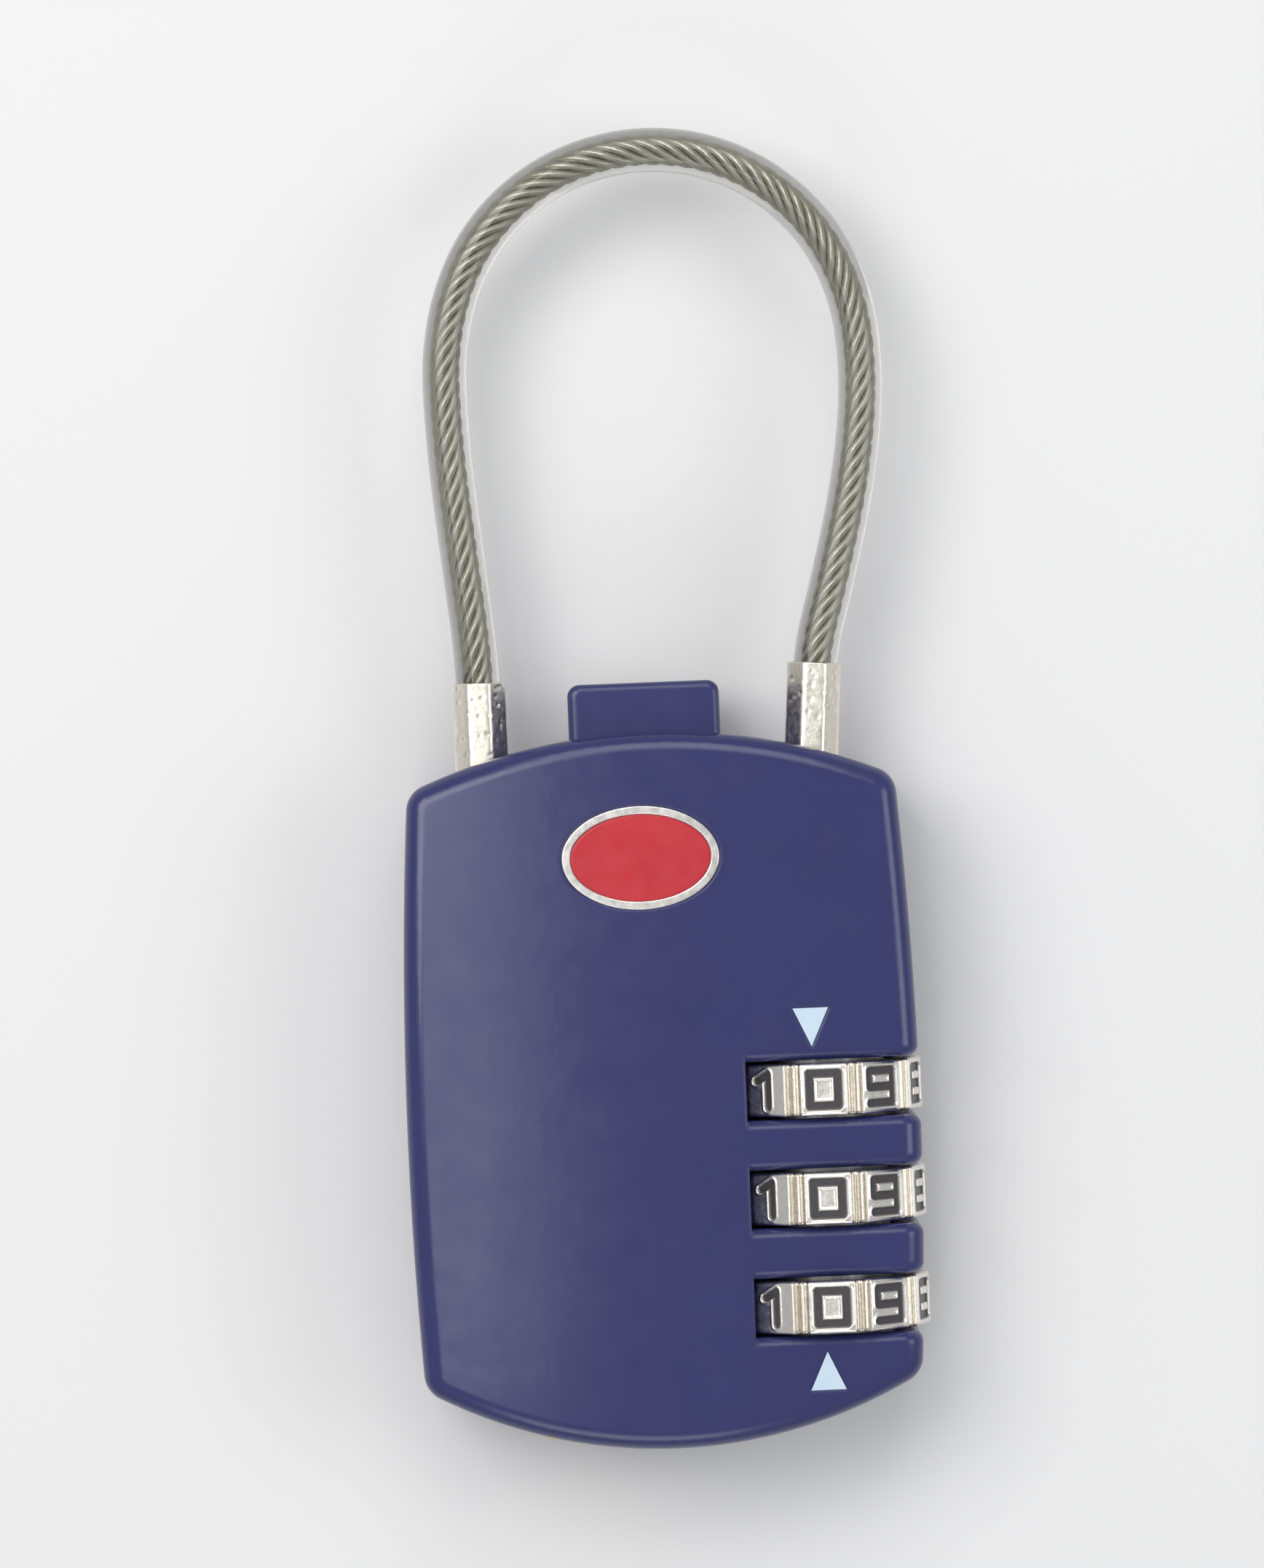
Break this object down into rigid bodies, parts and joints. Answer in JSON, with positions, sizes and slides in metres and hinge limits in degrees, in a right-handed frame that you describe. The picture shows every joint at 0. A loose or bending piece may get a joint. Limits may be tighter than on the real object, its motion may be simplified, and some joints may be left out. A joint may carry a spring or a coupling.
{
  "type": "luggage combination padlock",
  "caption": "Cable luggage padlock with fluted digit dials, a push-button release and a service key cylinder in a crowned navy body.",
  "frame": {"origin": "centre of the flat back face, at mid width of the body and half way between the tops of its upper and lower arcs", "axes": "+X to the dials' side, +Y from the key end to the cable loop, +Z out of the front; the padlock lies on its back"},
  "size_m": [0.0337, 0.0863, 0.0135],
  "materials": {
    "navy_paint": "gloss navy paint on die-cast zinc",
    "steel": "turned steel",
    "nickel": "bright nickel plate",
    "red_enamel": "gloss red enamel",
    "pale_enamel": "pale blue-white enamel",
    "zinc": "bare die-cast zinc alloy",
    "spring_steel": "spring steel",
    "ferrule_metal": "satin nickel plate, slightly pitted",
    "cable_steel": "stranded galvanised wire",
    "clear_jacket": "clear vinyl jacket",
    "brass": "machined brass",
    "dial_metal": "nickel plate with black-filled digits"
  },
  "bodies": {
    "case": {"rear_shell": "navy_paint", "front_shell": "navy_paint", "case_pins": "steel", "badge_rim": "nickel", "badge_enamel": "red_enamel", "index_marks": "pale_enamel", "detent_spring": "spring_steel", "fixed_end_fitting": "ferrule_metal", "latch_clip": "spring_steel", "key_barrel": "brass", "cable_core": "cable_steel", "cable_jacket": "clear_jacket", "button_spring": "spring_steel", "ejector_spring": "spring_steel", "reset_spring": "spring_steel"},
    "button": {"release_button": "navy_paint", "carriage": "zinc", "code_spindle": "steel"},
    "free_end": {"free_end_fitting": "ferrule_metal"},
    "ejector": {"ejector_pin": "steel"},
    "key_lock": {"key_plug": "brass", "key_wafers": "brass"},
    "reset": {"reset_pin": "steel"},
    "dial_1": {"dial_1": "dial_metal", "code_sleeve_1": "zinc"},
    "dial_2": {"dial_2": "dial_metal", "code_sleeve_2": "zinc"},
    "dial_3": {"dial_3": "dial_metal", "code_sleeve_3": "zinc"}
  },
  "joints": [
    {"name": "dial_1_spin", "type": "hinge", "parent": "case", "child": "dial_1", "pos_m": [0.0104, -0.00025, 0.0069], "axis": [0, 1, 0], "continuous": true, "deforming": ["detent_spring"]},
    {"name": "dial_2_spin", "type": "hinge", "parent": "case", "child": "dial_2", "pos_m": [0.0104, -0.0073, 0.0069], "axis": [0, 1, 0], "continuous": true, "deforming": ["detent_spring"]},
    {"name": "dial_3_spin", "type": "hinge", "parent": "case", "child": "dial_3", "pos_m": [0.0104, -0.01435, 0.0069], "axis": [0, 1, 0], "continuous": true, "deforming": ["detent_spring"]},
    {"name": "button_press", "type": "slide", "parent": "case", "child": "button", "axis": [0, -1, 0], "range_m": [0, 0.0024], "stiffness_N_per_m": 900, "springref_m": -0.001, "deforming": ["button_spring", "latch_clip"]},
    {"name": "plug_release", "type": "slide", "parent": "case", "child": "free_end", "axis": [0, 1, 0], "range_m": [0, 0.012], "deforming": ["cable_core", "cable_jacket", "latch_clip"]},
    {"name": "ejector_lift", "type": "slide", "parent": "case", "child": "ejector", "axis": [0, 1, 0], "range_m": [0, 0.004], "deforming": ["ejector_spring"]},
    {"name": "key_turn", "type": "hinge", "parent": "case", "child": "key_lock", "pos_m": [-0.005, -0.0165, 0.0069], "axis": [0, 1, 0], "range_deg": [0, 90], "deforming": ["latch_clip"]},
    {"name": "reset_press", "type": "slide", "parent": "case", "child": "reset", "axis": [1, 0, 0], "range_m": [0, 0.0012], "stiffness_N_per_m": 500, "springref_m": -0.0005, "deforming": ["reset_spring"]}
  ],
  "couplings": [
    {"joint": "ejector_lift", "follows": "plug_release", "ratio": 0.3333}
  ]
}
